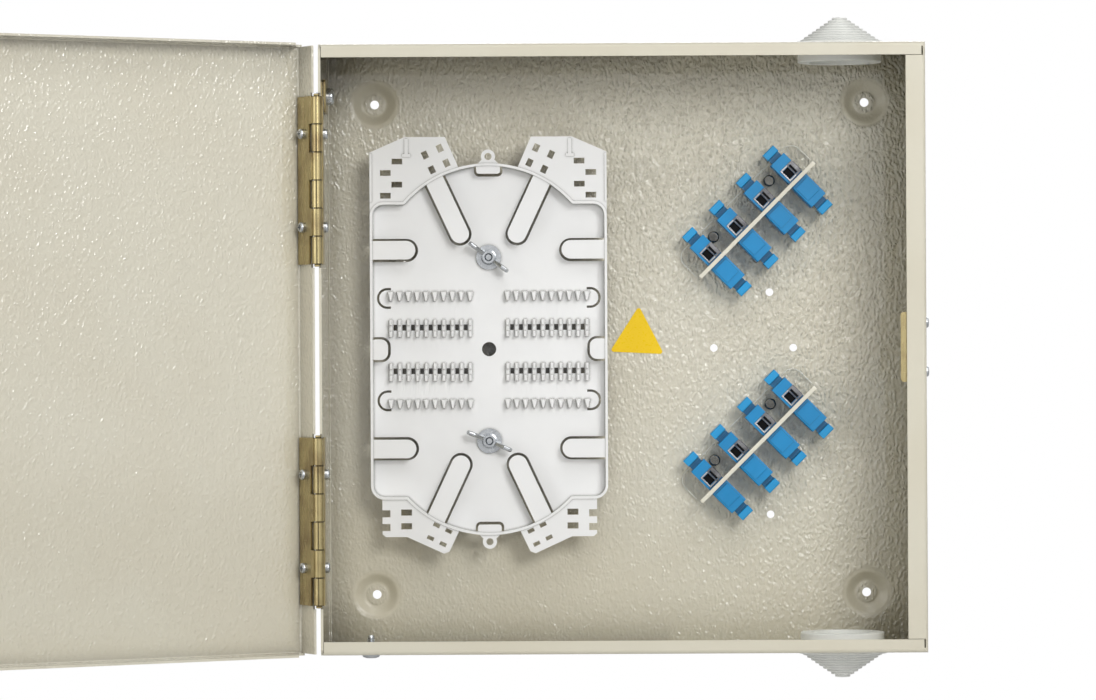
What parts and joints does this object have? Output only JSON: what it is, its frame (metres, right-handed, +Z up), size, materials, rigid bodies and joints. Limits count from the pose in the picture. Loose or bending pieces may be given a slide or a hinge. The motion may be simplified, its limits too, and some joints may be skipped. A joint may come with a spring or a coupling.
{
  "type": "wall-mount fibre distribution box",
  "caption": "Folded sheet-steel wall box with a hinged tray door, splice tray on wing nuts, bracket-mounted fibre couplings with dust caps, and stepped cable grommets.",
  "frame": {"origin": "midway between the four wall screw holes, on the wall plane", "axes": "+X right and +Z up as seen from the front, +Y into the wall"},
  "size_m": [0.5706, 0.2282, 0.3312],
  "materials": {
    "painted_steel": "glossy textured powder coat, pebble beige",
    "yellow_zinc": "yellow passivated zinc plate",
    "bright_zinc": "bright zinc plate",
    "chromed_zinc": "chromed die casting",
    "grey_vinyl": "soft light grey vinyl",
    "white_plastic": "satin moulded white plastic",
    "clear_plastic": "clear sheet plastic with milky cut edges",
    "spring_steel": "stamped stainless strip",
    "blue_plastic": "moulded sky blue plastic",
    "blue_cap_plastic": "soft moulded sky blue plastic",
    "marker_film": "plain yellow vinyl film"
  },
  "bodies": {
    "enclosure": {"adapter_bracket_lower": "clear_plastic", "adapter_bracket_upper": "clear_plastic", "adapter_clips_lower": "spring_steel", "adapter_clips_upper": "spring_steel", "adapter_lower_1": "blue_plastic", "adapter_lower_2": "blue_plastic", "adapter_lower_3": "blue_plastic", "adapter_lower_4": "blue_plastic", "adapter_upper_1": "blue_plastic", "adapter_upper_2": "blue_plastic", "adapter_upper_3": "blue_plastic", "adapter_upper_4": "blue_plastic", "bonding_plate": "bright_zinc", "bonding_screw": "bright_zinc", "bottom_cable_grommet": "grey_vinyl", "box_leaf_screws": "bright_zinc", "bracket_screws": "bright_zinc", "catch_plate_rivets": "bright_zinc", "clip_side_cap_lower_1": "blue_cap_plastic", "clip_side_cap_lower_2": "blue_cap_plastic", "clip_side_cap_lower_3": "blue_cap_plastic", "clip_side_cap_lower_4": "blue_cap_plastic", "clip_side_cap_upper_1": "blue_cap_plastic", "clip_side_cap_upper_2": "blue_cap_plastic", "clip_side_cap_upper_3": "blue_cap_plastic", "clip_side_cap_upper_4": "blue_cap_plastic", "earth_screw": "bright_zinc", "enclosure_shell": "painted_steel", "lock_catch_plate": "bright_zinc", "lower_hinge_box_leaf": "yellow_zinc", "lower_hinge_pin": "yellow_zinc", "marker_sticker": "marker_film", "plain_side_cap_lower_1": "blue_cap_plastic", "plain_side_cap_lower_2": "blue_cap_plastic", "plain_side_cap_lower_3": "blue_cap_plastic", "plain_side_cap_lower_4": "blue_cap_plastic", "plain_side_cap_upper_1": "blue_cap_plastic", "plain_side_cap_upper_2": "blue_cap_plastic", "plain_side_cap_upper_3": "blue_cap_plastic", "plain_side_cap_upper_4": "blue_cap_plastic", "splice_tray": "white_plastic", "top_cable_grommet": "grey_vinyl", "tray_spacers": "bright_zinc", "tray_studs": "bright_zinc", "tray_washers": "bright_zinc", "upper_hinge_box_leaf": "yellow_zinc", "upper_hinge_pin": "yellow_zinc"},
    "door": {"door_leaf_screws": "bright_zinc", "door_shell": "painted_steel", "lock_barrel": "chromed_zinc", "lock_nut": "chromed_zinc", "lower_hinge_door_leaf": "yellow_zinc", "upper_hinge_door_leaf": "yellow_zinc"},
    "lock": {"lock_cam": "bright_zinc", "lock_cam_screw": "bright_zinc", "lock_plug": "chromed_zinc"},
    "upper_wing_nut": {"wing_nut_upper": "bright_zinc"},
    "lower_wing_nut": {"wing_nut_lower": "bright_zinc"}
  },
  "joints": [
    {"name": "door_hinge", "type": "hinge", "parent": "enclosure", "child": "door", "pos_m": [-0.1507, -0.0792, 0], "axis": [0, 0, 1], "range_deg": [-15, 150]},
    {"name": "lock_turn", "type": "hinge", "parent": "door", "child": "lock", "pos_m": [-0.394, -0.2072, 0], "axis": [-0.5, 0.866, 0], "range_deg": [0, 90]},
    {"name": "upper_wing_nut_spin", "type": "hinge", "parent": "enclosure", "child": "upper_wing_nut", "pos_m": [-0.067, -0.0202, 0.0466], "axis": [0, -1, 0], "continuous": true},
    {"name": "lower_wing_nut_spin", "type": "hinge", "parent": "enclosure", "child": "lower_wing_nut", "pos_m": [-0.067, -0.0202, -0.0466], "axis": [0, -1, 0], "continuous": true}
  ]
}
